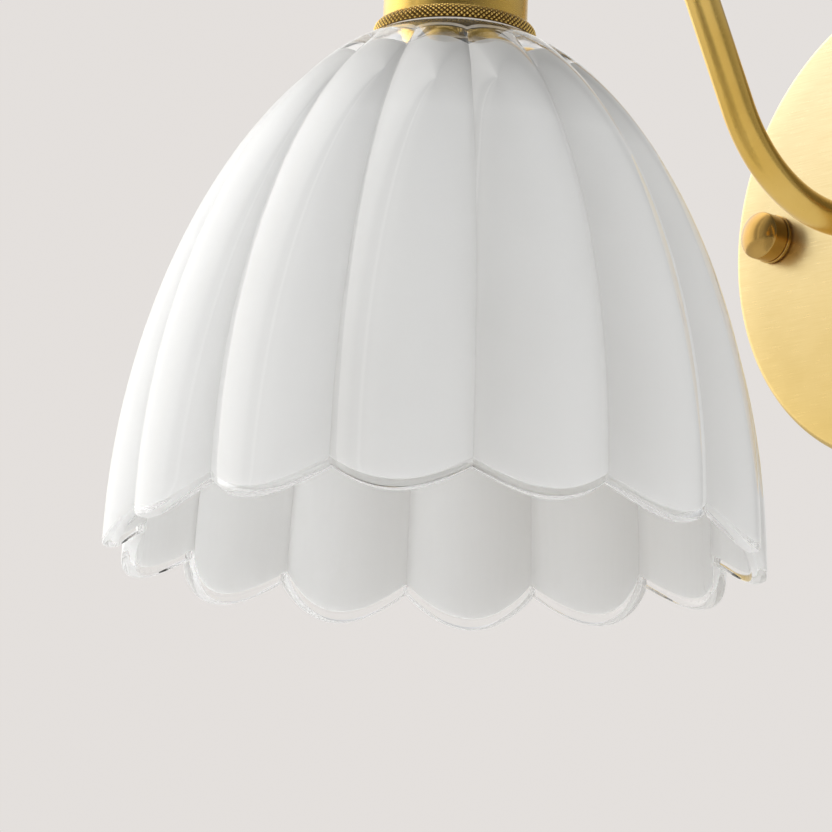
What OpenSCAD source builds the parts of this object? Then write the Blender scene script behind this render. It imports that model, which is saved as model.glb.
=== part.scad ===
// Wall sconce: round brass back plate, swan-neck arm, brass lamp cup and a fluted glass shade.
// Millimetres. The wall is the plane Y = 0, the lamp stands out along -Y, and +Z is up.
// The origin is the centre of the back plate, on the wall.

/* [Back plate] */
// Diameter of the back plate
plate_d = 152; // [142:1:180]
// Distance from the wall to the plate's front face
plate_depth = 22; // [18:0.5:28]
// Thickness of the plate's sheet
plate_wall = 1.5; // [1:0.1:2]
// Outer radius of the plate's rolled front edge
plate_edge_r = 1.8; // [1.2:0.1:5]

/* [Wall bracket] */
// Distance between the two cap nuts
nut_spacing = 120; // [112:1:126]
// Height of the two cap nuts above the arm's axis
nut_lift = 2.6; // [0:0.2:4]
// Distance between the two wall screw slots
wall_screw_spacing = 60; // [56:1:66]
// Length of each wall screw slot, end to end
slot_len = 12; // [8:0.5:14]
// Width of each wall screw slot
slot_w = 4.5; // [4:0.1:5.5]
// Thickness of the bracket's strip
strap_t = 2; // [1.5:0.1:2.5]
// Width of the bracket's strip
strap_w = 22; // [20:1:26]
// Height of the raised bracket ends above the wall
strap_lift = 6; // [5:0.5:7]
// Diameter of the cable hole in the bracket
cable_hole_d = 14; // [10:0.5:16]

/* [Cap nuts] */
// Largest diameter of a cap nut
cap_nut_d = 15.2; // [12:0.2:16]
// Height of a cap nut
cap_nut_h = 9.4; // [9.4:0.2:14]
// Height of the dome on a cap nut
cap_dome_h = 2.8; // [2:0.1:4]
// Thickness of the flange at a cap nut's foot
cap_flange_t = 1.1; // [0.8:0.1:1.6]
// Thickness of the washer under a cap nut
cap_washer_t = 0.6; // [0.4:0.1:1]
// Diameter of the bracket screws' thread
screw_d = 4; // [3:0.5:5]

/* [Arm] */
// Outer diameter of the arm's tube
arm_d = 10; // [9:0.5:12]
// Wall of the arm's tube
arm_wall = 1; // [0.8:0.1:1.2]
// Distance from the plate's front face to the lamp's axis
reach = 200; // [185:1:225]
// Length of straight tube in front of the plate
arm_stub = 6; // [5:0.5:10]
// How far the arm dips below the plate's centre
arm_dip = 10.2; // [4:0.2:14]
// Centreline radius of the bend next to the plate
dip_r = 20; // [16:1:28]
// Centreline radius of the lower bend
low_r = 48; // [40:1:54]
// Centreline radius of the bend over the top
top_r = 40; // [34:1:44]
// Slope of the rising tube, in degrees
rise_angle = 60.4; // [54:0.2:66]
// Length of straight tube between the top bend and the cup's collar
arm_drop = 5.5; // [1:0.5:12]

/* [Cup and ring] */
// Outer diameter of the lamp cup
cup_d = 40; // [39:0.5:44]
// Height of the cup, from the knurled ring's lower edge to the top
cup_h = 50; // [49:0.5:60]
// Wall of the cup
cup_wall = 1.2; // [0.8:0.1:1.6]
// Outer radius of the cup's shoulder
cup_shoulder_r = 6; // [3:0.5:8]
// Height of the collar on the cup's top
cup_collar_h = 7; // [5:0.5:10]
// Radius of the knurled ring's rounded edge
ring_bead_r = 2.6; // [2:0.1:3.6]
// Height of the knurled ring
ring_h = 4.4; // [3.8:0.1:6]

/* [Glass shade] */
// Number of petals round the shade
petals = 14; // [10:1:18]
// Diameter of the shade over its petals at the rim
shade_d = 181; // [168:1:196]
// Height of the shade, from the neck to the petal tips
shade_h = 146.4; // [136:0.2:160]
// Outer diameter of the glass at the neck
neck_d = 47; // [46:0.5:49]
// Thickness of the glass
glass_t = 4.2; // [3:0.1:5]
// Depth of the grooves between petals at the rim
flute_depth = 6.8; // [3:0.1:9]
// How far a petal's tip hangs below the groove beside it
scallop_drop = 8.2; // [3:0.1:12]
// Depth below the neck over which the petals rise from the round glass
petal_onset = 9; // [5:0.5:14]
// Thickness of each gasket on the glass
gasket_t = 0.8; // [0.5:0.1:1.2]

/* [Lampholder] */
// Outer diameter of the lampholder's threaded skirt
holder_d = 36; // [35:0.5:36.5]
// Bore of the lampholder's screw shell
socket_d = 26.7; // [26.6:0.1:27]
// Height of the lampholder's skirt below the knurled ring
skirt_drop = 16; // [15:0.5:19]
// Outer diameter of the shade ring's flange
shade_ring_d = 50; // [46:0.5:52]

/* [Bulb] */
// Diameter of the bulb's globe
bulb_d = 60; // [45:1:66]
// Length of the bulb, from its contact to the end of the globe
bulb_len = 109; // [100:1:116]

/* [Hidden] */
$fn = 64;
cut = 1; // how far a cutting shape runs past what it cuts
seam = 0.02; // hairline between two lengths of one tube or wire

// Fits between pieces
press_gap = 0.03;
slide_gap = 0.1;
hole_gap = 0.5;

// Wall bracket
strap_bend = 8;
strap_pad_half = nut_spacing / 2 - screw_d - strap_bend - 4;
strap_half = nut_spacing / 2 + strap_w / 3;
tab_w = 30;
tab_top = strap_w / 2 + 26;
screw_head_d = screw_d * 1.9;
screw_head_t = screw_d * 0.6;
hex_nut_af = screw_d * 1.75;
hex_nut_t = screw_d * 0.8;
cap_bore_depth = cap_nut_h - 2.5;
screw_end = plate_depth + cap_washer_t + cap_bore_depth - 1.2;
earth_x = -(cable_hole_d / 2 + 7.5);

// Terminal block
block_w = 24;
block_h = 16;
block_t = 12;
block_z = strap_w / 2 + 5;
way_pitch = 7;
way_d = 3;
way_u = strap_t + 5;

// Arm's centreline in the plane X = 0, as [distance from the wall, height]
arm_r = arm_d / 2;
arm_bore_r = arm_r - arm_wall;
arm_nut_t = 3.5;
arm_washer_t = 1;
arm_inner_end = plate_depth - plate_wall - arm_washer_t - arm_nut_t - 2;
bend_u = plate_depth + arm_stub;
dip_angle = acos(1 - arm_dip / (dip_r + low_r));
low_centre = [bend_u + (dip_r + low_r) * sin(dip_angle), low_r - arm_dip];
rise_start = low_centre + low_r * [sin(rise_angle), -cos(rise_angle)];
lamp_u = plate_depth + reach;
rise_len = (lamp_u - top_r * (1 + sin(rise_angle)) - rise_start[0]) / cos(rise_angle);
rise_end = rise_start + rise_len * [cos(rise_angle), sin(rise_angle)];
top_centre = rise_end + top_r * [sin(rise_angle), -cos(rise_angle)];

// Heights along the lamp's axis
cup_collar_top = top_centre[1] - arm_drop;
cup_top = cup_collar_top - cup_collar_h;
ring_z = cup_top - cup_h;
glass_top = ring_z - gasket_t;
holder_cap_top = cup_top - cup_wall - 0.3;
holder_cap_t = 6.5;
arm_outer_end = holder_cap_top - holder_cap_t - 2.5;
body_top = holder_cap_top - 12.5;
core_top = body_top - 4;
core_t = 8;
core_bottom = core_top - core_t;
skirt_bottom = ring_z - skirt_drop;
bulb_top = core_bottom - 2.5;

// Wires
wire_r = 0.9;
wire_x = 1.7;
wire_turn_r = 4;
holder_terminal_x = 8;

// Cup and ring
cup_r = cup_d / 2;
cup_inner_r = cup_r - cup_wall;
ring_r = cup_r + ring_bead_r;
ring_ledge_t = ring_h - 2.5;

// Lampholder
holder_r = holder_d / 2;
core_r = holder_r - 2.6;
shell_t = 0.45;
shell_r = socket_d / 2 + shell_t;
body_bore_r = shell_r + 0.6;

// Glass
neck_r = neck_d / 2;
rim_r = shade_d / 2;
hole_r = holder_r + 0.6;
petal_steps = 8;
rows = 18;
land_t = 0.06; // place on the profile where the flat land inside the neck begins
rim_round = 1; // how far the rim's middle stands below its two edges
flute_power = 0.85; // under 1 makes the grooves steeper than a sine
profile = [
    [neck_r, 0],
    [neck_r + 0.483 * (rim_r - neck_r), -0.097 * shade_h],
    [rim_r - 1, -0.512 * shade_h],
    [rim_r, -shade_h]
];

// Shade ring
shade_ring_t = 2.5;
shade_hub_h = 3.8;
shade_hub_r = holder_r + 3;

// Bulb
bulb_r = bulb_d / 2;
bulb_cap_r = socket_d / 2 - 0.25;
bulb_tip_h = 1.6;
bulb_insulator_h = 3.4;
bulb_cap_h = 20;
bulb_neck_r = bulb_cap_r + 0.5;
bulb_neck_bottom = skirt_bottom - 2;
globe_z = bulb_top - bulb_len + bulb_r;

// Puts a shape drawn with x = distance from the wall and y = height into the plane X = 0
module side_view() {
    rotate([90, 0, -90]) children();
}

// Turns a shape that stands on Z so that it stands out from the wall at [x, z]
module out_from_wall(x, z) {
    translate([x, 0, z]) rotate([90, 0, 0]) children();
}

// Moves a shape that stands on Z to the lamp's axis at a height
module on_lamp_axis(z) {
    translate([0, -lamp_u, z]) children();
}

module ring_body(outer, inner, h) {
    difference() {
        cylinder(r = outer, h = h);
        translate([0, 0, -cut]) cylinder(r = inner, h = h + 2 * cut);
    }
}

module hex_nut(af, bore_r, h) {
    difference() {
        cylinder(d = af / cos(30), h = h, $fn = 6);
        translate([0, 0, -cut]) cylinder(r = bore_r, h = h + 2 * cut);
    }
}

// A round rod between two points
module rod(from, to, r) {
    run = to - from;
    translate(from)
        rotate([0, acos(run[2] / norm(run)), atan2(run[1], run[0])])
            cylinder(r = r, h = norm(run), $fn = 24);
}

// A round bar or tube seen end on
module section(r, bore) {
    difference() {
        circle(r = r, $fn = 48);
        if (bore > 0) circle(r = bore, $fn = 48);
    }
}

// A bend of the arm: a piece of a ring round a centre in the side view
module bend(centre, bend_r, from, sweep, r, bore) {
    trim = seam / 2 / bend_r * 180 / PI;
    translate([centre[0], centre[1], 0])
        rotate([0, 0, from + trim])
            rotate_extrude(angle = sweep - 2 * trim)
                translate([bend_r, 0]) section(r, bore);
}

// A straight length from a point in the side view, along a heading
module straight(start, heading, length, r, bore) {
    translate([start[0], start[1], 0])
        rotate([0, 0, heading])
            translate([seam / 2, 0, 0])
                rotate([90, 0, 90]) linear_extrude(length - seam) section(r, bore);
}

// The hidden sleeve inside the wall where two lengths meet
module sleeve(at, heading, r, bore) {
    translate([at[0], at[1], 0])
        rotate([0, 0, heading])
            translate([-0.5, 0, 0])
                rotate([90, 0, 90]) linear_extrude(1) section(r - 0.05, bore > 0 ? bore + 0.05 : 0);
}

// Everything along the arm's centreline, from a distance off the wall to a height over the lamp
module arm_line(from, to, r, bore = 0) {
    straight([from, 0], 0, bend_u - from, r, bore);
    sleeve([bend_u, 0], 0, r, bore);
    bend([bend_u, -dip_r], dip_r, 90 - dip_angle, dip_angle, r, bore);
    sleeve([bend_u + dip_r * sin(dip_angle), dip_r * (cos(dip_angle) - 1)], -dip_angle, r, bore);
    bend(low_centre, low_r, -90 - dip_angle, rise_angle + dip_angle, r, bore);
    sleeve(rise_start, rise_angle, r, bore);
    straight(rise_start, rise_angle, rise_len, r, bore);
    sleeve(rise_end, rise_angle, r, bore);
    bend(top_centre, top_r, 0, 90 + rise_angle, r, bore);
    sleeve([lamp_u, top_centre[1]], 90, r, bore);
    straight([lamp_u, top_centre[1]], -90, top_centre[1] - to, r, bore);
}

// The bracket's strip seen from above: a pad on the wall and two raised ends
module strap_outline() {
    function half(s) = [
        [s * strap_pad_half, 0],
        [s * (strap_pad_half + strap_bend), strap_lift],
        [s * strap_half, strap_lift],
        [s * strap_half, strap_lift + strap_t],
        [s * (strap_pad_half + strap_bend - strap_t / 2), strap_lift + strap_t],
        [s * (strap_pad_half - strap_t / 2), strap_t]
    ];
    right = half(1);
    left = half(-1);
    polygon(concat(right, [for (i = [len(left) - 1:-1:0]) left[i]]));
}

module slot(length, width, depth) {
    run = length - width;
    for (s = [-1, 1]) translate([s * run / 2, 0, 0]) cylinder(d = width, h = depth);
    translate([-run / 2, -width / 2, 0]) cube([run, width, depth]);
}

module wall_bracket() {
    color("lightsteelblue") difference() {
        union() {
            translate([0, 0, -strap_w / 2]) mirror([0, 1, 0])
                linear_extrude(strap_w) strap_outline();
            translate([-tab_w / 2, -strap_t, 0]) cube([tab_w, strap_t, tab_top]);
        }
        for (s = [-1, 1]) {
            translate([s * wall_screw_spacing / 2, cut, 0]) rotate([90, 0, 0])
                slot(slot_len, slot_w, strap_t + 2 * cut);
            translate([s * nut_spacing / 2, cut, nut_lift]) rotate([90, 0, 0])
                cylinder(r = screw_d / 2 + slide_gap, h = strap_lift + strap_t + 2 * cut);
        }
        translate([0, cut, 0]) rotate([90, 0, 0])
            cylinder(d = cable_hole_d, h = strap_t + 2 * cut);
        translate([earth_x, cut, 0]) rotate([90, 0, 0])
            cylinder(r = screw_d / 2 + press_gap, h = strap_t + 2 * cut);
    }
}

// A pan-head screw whose head is under the raised end of the bracket
module bracket_screw(x) {
    color("silver") out_from_wall(x, nut_lift) {
        translate([0, 0, strap_lift - screw_head_t]) cylinder(d = screw_head_d, h = screw_head_t);
        translate([0, 0, strap_lift - screw_head_t / 2])
            cylinder(d = screw_d, h = screw_end - strap_lift + screw_head_t / 2);
    }
}

module bracket_nuts() {
    color("silver")
        for (s = [-1, 1])
            out_from_wall(s * nut_spacing / 2, nut_lift)
                translate([0, 0, strap_lift + strap_t])
                    hex_nut(hex_nut_af, screw_d / 2 + press_gap, hex_nut_t);
}

module earth_screw() {
    color("gold") out_from_wall(earth_x, 0) {
        cylinder(d = screw_d, h = strap_t + 1.2);
        translate([0, 0, strap_t + 1.2]) cylinder(d = screw_head_d, h = screw_head_t);
    }
}

// The earth wire runs from the earth screw's head up to the block's outer way
module earth_wire() {
    tag_u = strap_t + 1;
    foot = [earth_x, -tag_u, 0];
    rise = [earth_x, -tag_u, screw_head_d + 1.5];
    bend_at = [-way_pitch, -way_u, block_z - 2.5];
    color("yellowgreen") {
        difference() {
            out_from_wall(earth_x, 0) translate([0, 0, strap_t])
                cylinder(d = screw_head_d + 1, h = 1.2);
            out_from_wall(earth_x, 0) cylinder(r = screw_d / 2 + press_gap, h = strap_t + 2);
        }
        rod(foot + [0, 0, screw_head_d / 2 + 0.1], rise, wire_r);
        rod(rise, bend_at, wire_r);
        rod(bend_at, bend_at + [0, 0, 5.5], wire_r);
        for (corner = [rise, bend_at])
            translate(corner) sphere(r = wire_r + 0.08, $fn = 24);
    }
}

module terminal_block() {
    color("white") difference() {
        translate([-block_w / 2, -strap_t - block_t, block_z]) cube([block_w, block_t, block_h]);
        for (i = [-1:1]) {
            translate([i * way_pitch, -way_u, block_z - cut])
                cylinder(d = way_d, h = block_h + 2 * cut);
            for (z = [4, block_h - 4])
                out_from_wall(i * way_pitch, block_z + z)
                    translate([0, 0, strap_t + 6.5])
                        cylinder(d = way_d + 0.6, h = block_t);
        }
    }
}

module terminal_screws() {
    screw_len = block_t - 6.5 - 1;
    color("gold")
        for (i = [-1:1], z = [4, block_h - 4])
            out_from_wall(i * way_pitch, block_z + z)
                translate([0, 0, strap_t + 6.5 + press_gap])
                    difference() {
                        cylinder(d = way_d + 0.6 - 2 * press_gap, h = screw_len);
                        translate([-way_d, -0.3, screw_len - 0.8]) cube([2 * way_d, 0.6, 1]);
                    }
}

// A wire from its way in the block, through the arm, to its terminal in the lampholder
module lead(side, way) {
    x = side * wire_x;
    turn_u = way_u + wire_turn_r;
    turn_top = [x, -way_u, wire_turn_r];
    way_foot = [way * way_pitch, -way_u, block_z - 2];
    holder_top = [x, -lamp_u, arm_outer_end - 1];
    terminal = [side * holder_terminal_x, -lamp_u, core_top + 2.5];
    translate([x, 0, 0]) side_view() {
        arm_line(turn_u, arm_outer_end - 1, wire_r);
        sleeve([turn_u, 0], 0, wire_r, 0);
        bend([turn_u, wire_turn_r], wire_turn_r, 180, 90, wire_r, 0);
    }
    for (corner = [turn_top, way_foot, holder_top])
        translate(corner) sphere(r = wire_r + 0.08, $fn = 24);
    rod(turn_top, way_foot, wire_r);
    rod(way_foot, way_foot + [0, 0, 5], wire_r);
    rod(holder_top, terminal, wire_r);
}

module line_wire() {
    color("saddlebrown") lead(1, 1);
}

module neutral_wire() {
    color("steelblue") lead(-1, 0);
}

// The plate's profile: radius across, distance from the wall up
module dish_outline(r, depth, edge_r) {
    square([r, depth - edge_r]);
    square([r - edge_r, depth]);
    translate([r - edge_r, depth - edge_r]) circle(r = edge_r, $fn = 96);
}

module backplate() {
    plate_r = plate_d / 2;
    plate_inner_edge_r = max(plate_edge_r - plate_wall, 0.3);
    color("goldenrod") difference() {
        rotate([90, 0, 0]) rotate_extrude($fn = 180) difference() {
            dish_outline(plate_r, plate_depth, plate_edge_r);
            translate([0, -cut])
                dish_outline(plate_r - plate_wall, plate_depth - plate_wall + cut, plate_inner_edge_r);
        }
        out_from_wall(0, 0) cylinder(r = arm_r + slide_gap, h = plate_depth + cut);
        for (s = [-1, 1])
            out_from_wall(s * nut_spacing / 2, nut_lift)
                cylinder(r = screw_d / 2 + hole_gap, h = plate_depth + cut);
    }
}

// A turned nut: flange, groove, round body and low dome, with a blind threaded bore
module cap_nut(x) {
    nut_r = cap_nut_d / 2;
    body_r = nut_r - 0.25;
    groove_t = 0.5;
    body_h = cap_nut_h - cap_dome_h;
    dome_r = (body_r * body_r + cap_dome_h * cap_dome_h) / (2 * cap_dome_h);
    color("darkgoldenrod") out_from_wall(x, nut_lift) translate([0, 0, plate_depth + cap_washer_t])
        rotate_extrude() difference() {
            union() {
                square([nut_r, cap_flange_t]);
                square([body_r - 0.3, cap_flange_t + groove_t]);
                translate([0, cap_flange_t + groove_t])
                    square([body_r, body_h - cap_flange_t - groove_t]);
                intersection() {
                    translate([0, cap_nut_h - dome_r]) circle(r = dome_r, $fn = 120);
                    translate([0, body_h - cut]) square([body_r, cap_nut_h]);
                }
            }
            translate([0, -cut]) square([screw_d / 2 + press_gap, cap_bore_depth + cut]);
            translate([-2 * nut_r, -cut]) square([2 * nut_r, 2 * cap_nut_h]);
        }
}

module cap_washer(x) {
    color("ivory") out_from_wall(x, nut_lift) translate([0, 0, plate_depth])
        ring_body(cap_nut_d / 2 - 1.4, screw_d / 2 + slide_gap, cap_washer_t);
}

module arm_collar() {
    collar_h = arm_stub - 0.5;
    color("goldenrod") out_from_wall(0, 0) translate([0, 0, plate_depth])
        rotate_extrude() difference() {
            union() {
                square([arm_d + 1, collar_h / 3]);
                square([arm_r + 2.2, collar_h]);
                translate([arm_r + 2.2, collar_h / 3]) circle(r = collar_h / 3, $fn = 48);
            }
            translate([0, -cut]) square([arm_r + slide_gap, collar_h + 2 * cut]);
            translate([-arm_d * 2, -arm_d]) square([arm_d * 2, arm_d * 2]);
            translate([0, -arm_d]) square([arm_d * 2, arm_d]);
        }
}

module arm_washer() {
    color("silver") out_from_wall(0, 0)
        translate([0, 0, plate_depth - plate_wall - arm_washer_t])
            ring_body(arm_r + 4, arm_r + slide_gap, arm_washer_t);
}

module arm_lock_nut() {
    color("gold") out_from_wall(0, 0)
        translate([0, 0, plate_depth - plate_wall - arm_washer_t - arm_nut_t])
            hex_nut(arm_d * 1.4, arm_r + press_gap, arm_nut_t);
}

module arm_tube() {
    color("goldenrod") side_view() arm_line(arm_inner_end, arm_outer_end, arm_r, arm_bore_r);
}

module cup_collar() {
    bead_r = 1.2;
    color("goldenrod") on_lamp_axis(cup_top) rotate_extrude() difference() {
        union() {
            square([arm_r + 4, cup_collar_h * 0.4]);
            square([arm_r + 2.2, cup_collar_h]);
            translate([arm_r + 2.2, cup_collar_h - bead_r]) circle(r = bead_r, $fn = 48);
        }
        translate([0, -cut]) square([arm_r + slide_gap, cup_collar_h + 2 * cut]);
    }
}

module lamp_cup() {
    foot_z = ring_z + ring_ledge_t;
    height = cup_top - foot_z;
    color("goldenrod") on_lamp_axis(foot_z) rotate_extrude() difference() {
        dish_outline(cup_r, height, cup_shoulder_r);
        translate([0, -cut])
            dish_outline(cup_inner_r, height - cup_wall + cut, cup_shoulder_r - cup_wall);
        square([arm_r + slide_gap, height + cut]);
    }
}

// The ring carries the cup on an inner ledge, and its outside is a quarter-round bead
module knurled_ring() {
    color("darkgoldenrod") on_lamp_axis(ring_z) rotate_extrude() difference() {
        union() {
            square([ring_r, ring_h - ring_bead_r]);
            intersection() {
                translate([cup_r, ring_h - ring_bead_r]) circle(r = ring_bead_r, $fn = 96);
                square([ring_r + cut, ring_h]);
            }
            square([cup_r + press_gap + 0.4, ring_h]);
        }
        translate([0, -cut]) square([holder_r + hole_gap, ring_h + 2 * cut]);
        translate([0, ring_ledge_t]) square([cup_r + press_gap, ring_h]);
    }
}

// The lampholder's cap screws onto the arm's end and holds the cup up against the collar
module lampholder_cap() {
    cap_r = holder_r - 3;
    cap_h = holder_cap_top - core_top;
    cavity_h = cap_h - holder_cap_t;
    color("dimgray") on_lamp_axis(core_top) rotate_extrude() difference() {
        union() {
            square([cap_r, cap_h - 3]);
            square([cap_r - 3, cap_h]);
            translate([cap_r - 3, cap_h - 3]) circle(r = 3, $fn = 48);
        }
        translate([0, -cut]) square([cap_r - 2, cavity_h + cut]);
        square([arm_r + press_gap, cap_h + cut]);
    }
}

module lampholder_body() {
    height = body_top - skirt_bottom;
    color("dimgray") on_lamp_axis(skirt_bottom) rotate_extrude() difference() {
        square([holder_r, height]);
        translate([0, -cut]) square([body_bore_r, height + 2 * cut]);
        translate([0, core_bottom - skirt_bottom]) square([core_r + slide_gap, height]);
    }
}

module lampholder_core() {
    color("whitesmoke") on_lamp_axis(core_bottom) difference() {
        cylinder(r = core_r, h = core_t);
        for (s = [-1, 1])
            translate([s * holder_terminal_x, 0, core_t / 2]) cylinder(r = 2 + press_gap, h = core_t);
        translate([-2.6, -8, -cut]) cube([5.2, 4, 1.2 + cut]);
    }
}

module screw_shell() {
    shell_h = core_bottom - ring_z + 2;
    color("gold") on_lamp_axis(core_bottom - shell_h) ring_body(shell_r, socket_d / 2, shell_h);
}

// A sprung tongue under the core that presses on the bulb's tip
module centre_contact() {
    drop = core_bottom - bulb_top;
    color("gold") on_lamp_axis(core_bottom) rotate([0, 90, 0]) translate([0, 0, -2.5])
        linear_extrude(5) polygon([
            [-1.1, -7.8], [-1.1, -4.2], [-0.05, -4.2], [drop - 0.55, -2],
            [drop - 0.55, 3], [drop - 0.05, 3], [drop - 0.05, -2.2], [0.45, -4.6], [0.45, -7.8]
        ]);
}

module holder_terminals() {
    color("gold")
        for (s = [-1, 1])
            translate([s * holder_terminal_x, -lamp_u, core_top - core_t / 2])
                difference() {
                    union() {
                        cylinder(r = 2, h = core_t / 2 + 1);
                        translate([0, 0, core_t / 2 + 0.01]) cylinder(r = 2.8, h = 2.4);
                    }
                    translate([0, 0, core_t / 2 + 1.2]) cylinder(r = wire_r + 0.4, h = core_t);
                }
}

module upper_gasket() {
    color("whitesmoke") on_lamp_axis(glass_top)
        ring_body(neck_r - 2, hole_r, gasket_t);
}

// A point of a cubic curve
function curve(p, t) =
    pow(1 - t, 3) * p[0] + 3 * t * pow(1 - t, 2) * p[1]
    + 3 * t * t * (1 - t) * p[2] + pow(t, 3) * p[3];
function slope(p, t) =
    3 * pow(1 - t, 2) * (p[1] - p[0]) + 6 * t * (1 - t) * (p[2] - p[1]) + 3 * t * t * (p[3] - p[2]);
// The same place on a curve that lies a distance inside, measured square to it
function inside(p, t, d) =
    let (s = slope(p, t), n = s / norm(s)) curve(p, t) + d * [n[1], -n[0]];
function smooth(x) = let (c = min(1, max(0, x))) c * c * (3 - 2 * c);

// A point of the glass: the profile's point at t, drawn in by the groove and lifted by the scallop
function petal_point(at, t, i) =
    let (
        share = (i % petal_steps) / petal_steps,
        crown = sin(180 * share),
        onset = smooth(-at[1] / petal_onset),
        r = at[0] * (1 - flute_depth / rim_r * (1 - pow(crown, flute_power)) * onset),
        turn = 360 * i / (petals * petal_steps)
    )
    [r * sin(turn), -r * cos(turn), at[1] + scallop_drop * (1 - crown) * t * t];

module glass_shade() {
    n = petals * petal_steps;
    land_z = inside(profile, land_t, glass_t)[1];
    inner_ts = [for (j = [0:rows]) 1 - (1 - land_t) * j / rows];
    mid_rim = inside(profile, 1, glass_t / 2) - [0, rim_round];
    loops = concat(
        [for (j = [0:rows]) [for (i = [0:n - 1]) petal_point(curve(profile, j / rows), j / rows, i)]],
        [[for (i = [0:n - 1]) petal_point(mid_rim, 1, i)]],
        [for (t = inner_ts) [for (i = [0:n - 1])
            t == inner_ts[rows]
                ? let (p = petal_point(inside(profile, t, glass_t), t, i)) [p[0], p[1], land_z]
                : petal_point(inside(profile, t, glass_t), t, i)]],
        [for (z = [land_z, 0]) [for (i = [0:n - 1])
            let (turn = 360 * i / n) [hole_r * sin(turn), -hole_r * cos(turn), z]]]
    );
    m = len(loops);
    faces = [
        for (j = [0:m - 1], i = [0:n - 1])
            let (a = j * n + i, b = j * n + (i + 1) % n, k = (j + 1) % m, c = k * n + (i + 1) % n, d = k * n + i)
            each [[a, c, b], [a, d, c]]
    ];
    color("white") on_lamp_axis(glass_top)
        polyhedron(points = [for (l = loops) each l], faces = faces, convexity = 10);
}

land_world = glass_top + inside(profile, land_t, glass_t)[1];

module lower_gasket() {
    color("whitesmoke") on_lamp_axis(land_world - gasket_t)
        ring_body(shade_ring_d / 2 - 1, hole_r, gasket_t);
}

module shade_ring() {
    top = land_world - gasket_t;
    color("dimgray") on_lamp_axis(top - shade_ring_t - shade_hub_h) difference() {
        union() {
            translate([0, 0, shade_hub_h]) cylinder(d = shade_ring_d, h = shade_ring_t);
            cylinder(r = shade_hub_r, h = shade_hub_h + shade_ring_t / 2);
        }
        translate([0, 0, -cut])
            cylinder(r = holder_r + slide_gap, h = shade_ring_t + shade_hub_h + 2 * cut);
        for (a = [0:30:330])
            rotate([0, 0, a]) translate([shade_hub_r + 0.4, 0, -cut])
                cylinder(r = 1, h = shade_hub_h + cut - 0.6, $fn = 24);
    }
}

// The globe's upper edge sits where the housing's slope meets the ball
globe_cut = globe_z + bulb_r * 0.35;
globe_edge_r = bulb_r * sqrt(1 - 0.35 * 0.35);

module bulb_globe() {
    color("white") on_lamp_axis(globe_z) rotate_extrude() difference() {
        intersection() {
            circle(r = bulb_r, $fn = 120);
            translate([0, -bulb_r]) square([bulb_r, bulb_r + globe_cut - globe_z]);
        }
        circle(r = bulb_r - 1.2, $fn = 120);
        translate([-2 * bulb_r, -bulb_r]) square([2 * bulb_r, 3 * bulb_r]);
    }
}

module bulb_housing() {
    neck_top = bulb_top - bulb_tip_h - bulb_insulator_h - bulb_cap_h + 4;
    flare_r = (bulb_neck_bottom - globe_cut);
    out = globe_edge_r - bulb_neck_r;
    color("white") on_lamp_axis(0) rotate_extrude() {
        polygon(concat(
            [[0, neck_top], [bulb_cap_r - 1, neck_top], [bulb_cap_r - 1, neck_top - 4]],
            [[bulb_neck_r, neck_top - 4]],
            [for (k = [0:10])
                let (a = 90 * k / 10)
                [bulb_neck_r + out * (1 - cos(a)), bulb_neck_bottom - flare_r * sin(a)]],
            [[globe_edge_r - 1.4, globe_cut - 0.01], [0, globe_cut - 0.01]]
        ));
    }
}

module bulb_cap() {
    top = bulb_top - bulb_tip_h - bulb_insulator_h;
    color("silver") on_lamp_axis(top - bulb_cap_h) difference() {
        cylinder(r = bulb_cap_r, h = bulb_cap_h);
        translate([0, 0, -cut]) cylinder(r = bulb_cap_r - 0.9, h = bulb_cap_h - 1 + cut);
    }
}

module bulb_insulator() {
    color("dimgray") on_lamp_axis(bulb_top - bulb_tip_h - bulb_insulator_h)
        cylinder(r1 = bulb_cap_r - 1.5, r2 = 6, h = bulb_insulator_h, $fn = 64);
}

module bulb_tip() {
    color("silver") on_lamp_axis(bulb_top - bulb_tip_h)
        cylinder(r1 = 4.8, r2 = 3.2, h = bulb_tip_h, $fn = 64);
}

wall_bracket();
bracket_screw(-nut_spacing / 2);  // bracket_screw_left
bracket_screw(nut_spacing / 2);  // bracket_screw_right
bracket_nuts();
earth_screw();
earth_wire();
terminal_block();
terminal_screws();
line_wire();
neutral_wire();
backplate();
cap_nut(-nut_spacing / 2);  // cap_nut_left
cap_nut(nut_spacing / 2);  // cap_nut_right
cap_washer(-nut_spacing / 2);  // cap_washer_left
cap_washer(nut_spacing / 2);  // cap_washer_right
arm_collar();
arm_washer();
arm_lock_nut();
arm_tube();
cup_collar();
lamp_cup();
knurled_ring();
lampholder_cap();
lampholder_body();
lampholder_core();
screw_shell();
centre_contact();
holder_terminals();
upper_gasket();
glass_shade();
lower_gasket();
shade_ring();
bulb_globe();
bulb_housing();
bulb_cap();
bulb_insulator();
bulb_tip();
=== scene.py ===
"""Studio scene of a brass wall sconce with a fluted glass shade.

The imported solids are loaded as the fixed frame. The pieces that show are modelled here in finer
form, in metres, in the same frame: the wall is the plane Y = 0, the lamp stands out along -Y.
"""

import logging
import math
from dataclasses import dataclass
from enum import Enum
from typing import Callable, Sequence

import bpy
from mathutils import Matrix, Vector


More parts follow.
